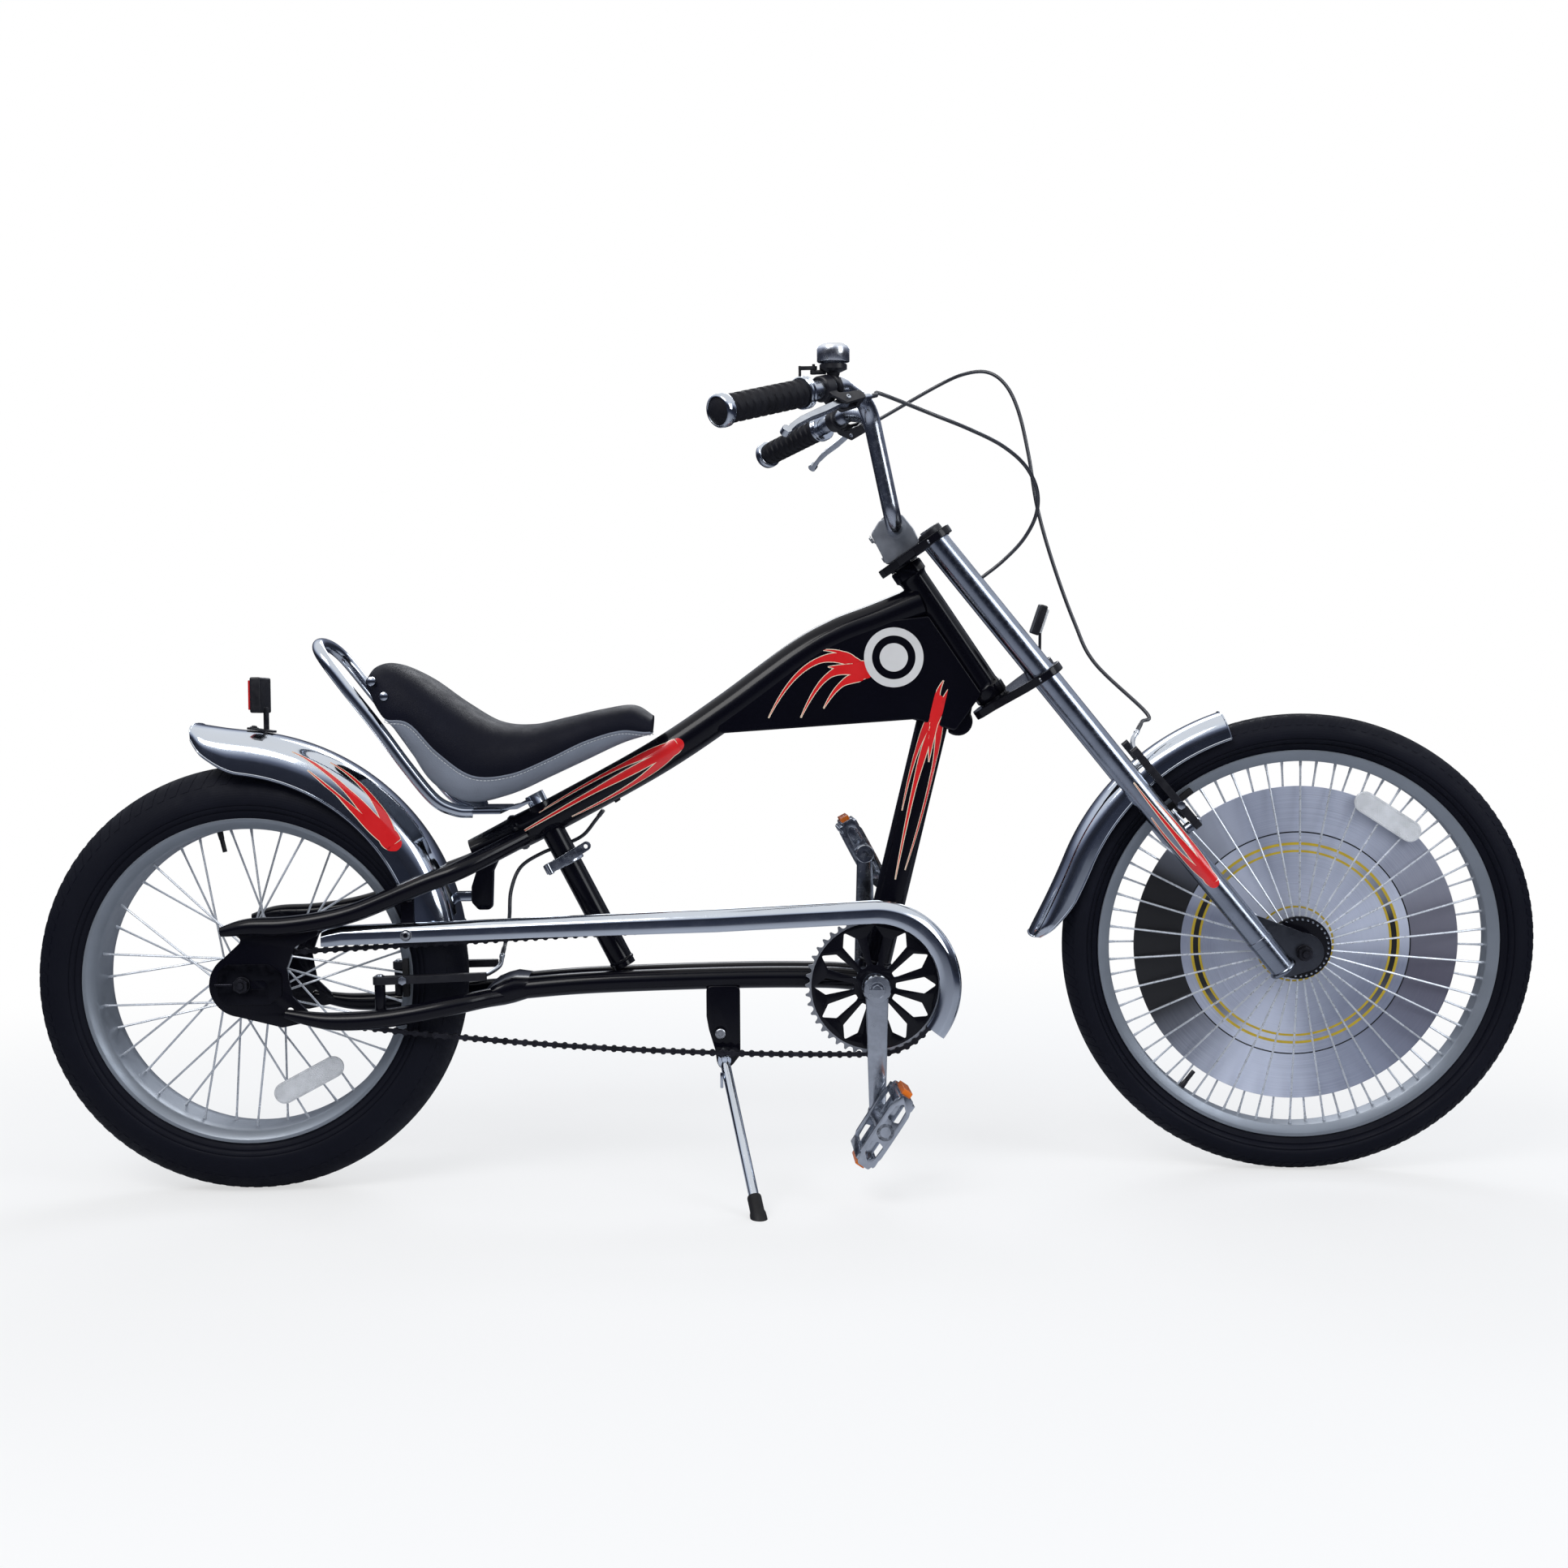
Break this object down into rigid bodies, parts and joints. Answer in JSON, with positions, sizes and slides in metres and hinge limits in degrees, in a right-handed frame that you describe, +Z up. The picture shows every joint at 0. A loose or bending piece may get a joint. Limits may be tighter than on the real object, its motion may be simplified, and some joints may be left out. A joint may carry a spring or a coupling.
{
  "type": "chopper bicycle",
  "caption": "Low chopper bicycle with a raked twin-tube fork, high bars, a long dipped saddle, wide rear tyre, chain drive and kickstand.",
  "frame": {"origin": "bottom centre of the bounding box, on the ground", "axes": "+X towards the front wheel, +Z up"},
  "size_m": [1.9462, 0.6676, 1.0849],
  "materials": {
    "black_paint": "gloss black paint",
    "chrome": "bright chrome plate",
    "silver": "satin silver metal",
    "rim_grey": "grey painted alloy",
    "tyre_rubber": "black moulded rubber",
    "grip_rubber": "black ribbed rubber",
    "black_plastic": "matte black",
    "dark_steel": "dark oiled steel",
    "grey_vinyl": "grey grained vinyl",
    "black_vinyl": "black grained vinyl",
    "clear_lens": "clear moulded lens"
  },
  "bodies": {
    "frame": {"backbone": "black_paint", "down_tube": "black_paint", "seat_tube": "black_paint", "lower_tubes": "black_paint", "stay_right": "black_paint", "stay_left": "black_paint", "chain_guard": "chrome", "chain": "dark_steel", "rear_fender": "chrome", "rear_reflector": "black_plastic", "rear_axle": "dark_steel", "rear_cable_lower": "black_plastic", "seat_clamp": "silver"},
    "clamp_lever": {"clamp_lever": "silver"},
    "seat": {"seat_post": "chrome", "saddle_cushion": "black_vinyl", "saddle_base": "grey_vinyl", "seat_hoop": "chrome"},
    "rear_wheel": {"rear_tyre": "tyre_rubber", "rear_rim": "rim_grey", "rear_hub": "silver", "rear_wheel_reflector": "clear_lens"},
    "freewheel": {"freewheel": "dark_steel"},
    "crankset": {"crank_right": "silver", "crank_left": "silver", "chainring": "black_paint"},
    "pedal_right": {"pedal_right": "silver"},
    "pedal_left": {"pedal_left": "silver"},
    "kickstand": {"kickstand": "silver"},
    "rear_brake_right": {"rear_brake_right": "black_plastic"},
    "rear_brake_left": {"rear_brake_left": "black_plastic"},
    "steering": {"lower_crown": "black_paint", "upper_crown": "black_paint", "stem": "silver", "fork_leg_right": "chrome", "fork_leg_left": "chrome", "handlebar": "chrome", "bell_base": "black_plastic", "bell_dome": "chrome", "front_fender": "chrome", "front_reflector": "black_plastic", "front_axle": "dark_steel", "grip_right": "grip_rubber", "grip_left": "grip_rubber", "grip_cap_right": "chrome", "grip_cap_left": "chrome", "lever_bracket_right": "black_plastic", "lever_bracket_left": "black_plastic", "front_cable": "black_plastic", "rear_cable_upper": "black_plastic"},
    "front_wheel": {"front_tyre": "tyre_rubber", "front_rim": "rim_grey", "front_hub": "silver", "front_disc": "silver", "front_wheel_reflector": "clear_lens"},
    "front_brake_right": {"front_brake_right": "black_plastic"},
    "front_brake_left": {"front_brake_left": "black_plastic"},
    "brake_lever_right": {"brake_lever_right": "silver"},
    "brake_lever_left": {"brake_lever_left": "silver"},
    "bell_lever": {"bell_lever": "black_plastic"}
  },
  "joints": [
    {"name": "seat_height", "type": "slide", "parent": "frame", "child": "seat", "axis": [-0.4556, -0.0264, 0.8898], "range_m": [-0.005, 0.06]},
    {"name": "clamp_lever_swing", "type": "hinge", "parent": "frame", "child": "clamp_lever", "pos_m": [-0.31425, -0.01861, 0.41516], "axis": [0.4556, 0.0264, -0.8898], "range_deg": [0, 90]},
    {"name": "rear_wheel_spin", "type": "hinge", "parent": "frame", "child": "rear_wheel", "pos_m": [-0.69832, 0.01101, 0.27687], "axis": [0, 0.9996, 0.0297], "continuous": true},
    {"name": "crank_spin", "type": "hinge", "parent": "frame", "child": "crankset", "pos_m": [0.10588, 0.01142, 0.26287], "axis": [0, 0.9996, 0.0297], "continuous": true, "deforming": ["chain"]},
    {"name": "freewheel_spin", "type": "hinge", "parent": "frame", "child": "freewheel", "pos_m": [-0.69832, 0.01101, 0.27687], "axis": [0, 0.9996, 0.0297], "continuous": true},
    {"name": "pedal_right_spin", "type": "hinge", "parent": "crankset", "child": "pedal_right", "pos_m": [0.10588, -0.12077, 0.09888], "axis": [0, 0.9996, 0.0297], "continuous": true},
    {"name": "pedal_left_spin", "type": "hinge", "parent": "crankset", "child": "pedal_left", "pos_m": [0.10588, 0.14362, 0.42687], "axis": [0, 0.9996, 0.0297], "continuous": true},
    {"name": "kickstand_fold", "type": "hinge", "parent": "frame", "child": "kickstand", "pos_m": [-0.08932, -0.03221, 0.16554], "axis": [0, 0.9494, -0.314], "range_deg": [0, 75]},
    {"name": "rear_brake_right_close", "type": "hinge", "parent": "frame", "child": "rear_brake_right", "pos_m": [-0.52634, -0.05505, 0.27791], "axis": [-0.0175, -0.0297, 0.9994], "range_deg": [0, 2.2], "stiffness_Nm_per_rad": 0.6, "deforming": ["rear_cable_lower"]},
    {"name": "rear_brake_left_close", "type": "hinge", "parent": "frame", "child": "rear_brake_left", "pos_m": [-0.52634, 0.07689, 0.28183], "axis": [-0.0175, -0.0297, 0.9994], "range_deg": [-2.2, 0], "stiffness_Nm_per_rad": 0.6},
    {"name": "steering_turn", "type": "hinge", "parent": "frame", "child": "steering", "pos_m": [0.21128, -0.00219, 0.72157], "axis": [-0.5592, -0.0246, 0.8287], "range_deg": [-37, 53], "deforming": ["rear_cable_upper"]},
    {"name": "front_wheel_spin", "type": "hinge", "parent": "steering", "child": "front_wheel", "pos_m": [0.66849, -0.01045, 0.30544], "axis": [0.1154, 0.9875, 0.1072], "continuous": true},
    {"name": "front_brake_right_close", "type": "hinge", "parent": "steering", "child": "front_brake_right", "pos_m": [0.52085, -0.06164, 0.46952], "axis": [-0.758, 0.1573, -0.633], "range_deg": [0, 2.2], "stiffness_Nm_per_rad": 0.6, "deforming": ["front_cable"]},
    {"name": "front_brake_left_close", "type": "hinge", "parent": "steering", "child": "front_brake_left", "pos_m": [0.53239, 0.03711, 0.48024], "axis": [-0.758, 0.1573, -0.633], "range_deg": [-2.2, 0], "stiffness_Nm_per_rad": 0.6},
    {"name": "brake_lever_right_pull", "type": "hinge", "parent": "steering", "child": "brake_lever_right", "pos_m": [0.05959, -0.20183, 0.97974], "axis": [-0.4026, 0.7057, -0.583], "range_deg": [0, 9], "stiffness_Nm_per_rad": 0.8},
    {"name": "brake_lever_left_pull", "type": "hinge", "parent": "steering", "child": "brake_lever_left", "pos_m": [0.10274, 0.16747, 1.01982], "axis": [0.5382, 0.4556, 0.709], "range_deg": [0, 9], "stiffness_Nm_per_rad": 0.8},
    {"name": "bell_lever_press", "type": "hinge", "parent": "steering", "child": "bell_lever", "pos_m": [0.02289, -0.19219, 1.02277], "axis": [0.0045, 0.1074, -0.9942], "range_deg": [0, 25], "stiffness_Nm_per_rad": 0.05}
  ],
  "couplings": [
    {"joint": "freewheel_spin", "follows": "crank_spin", "ratio": 2.4444},
    {"joint": "front_brake_right_close", "follows": "brake_lever_left_pull", "ratio": 0.22},
    {"joint": "front_brake_left_close", "follows": "brake_lever_left_pull", "ratio": -0.22},
    {"joint": "rear_brake_right_close", "follows": "brake_lever_right_pull", "ratio": 0.22},
    {"joint": "rear_brake_left_close", "follows": "brake_lever_right_pull", "ratio": -0.22}
  ]
}
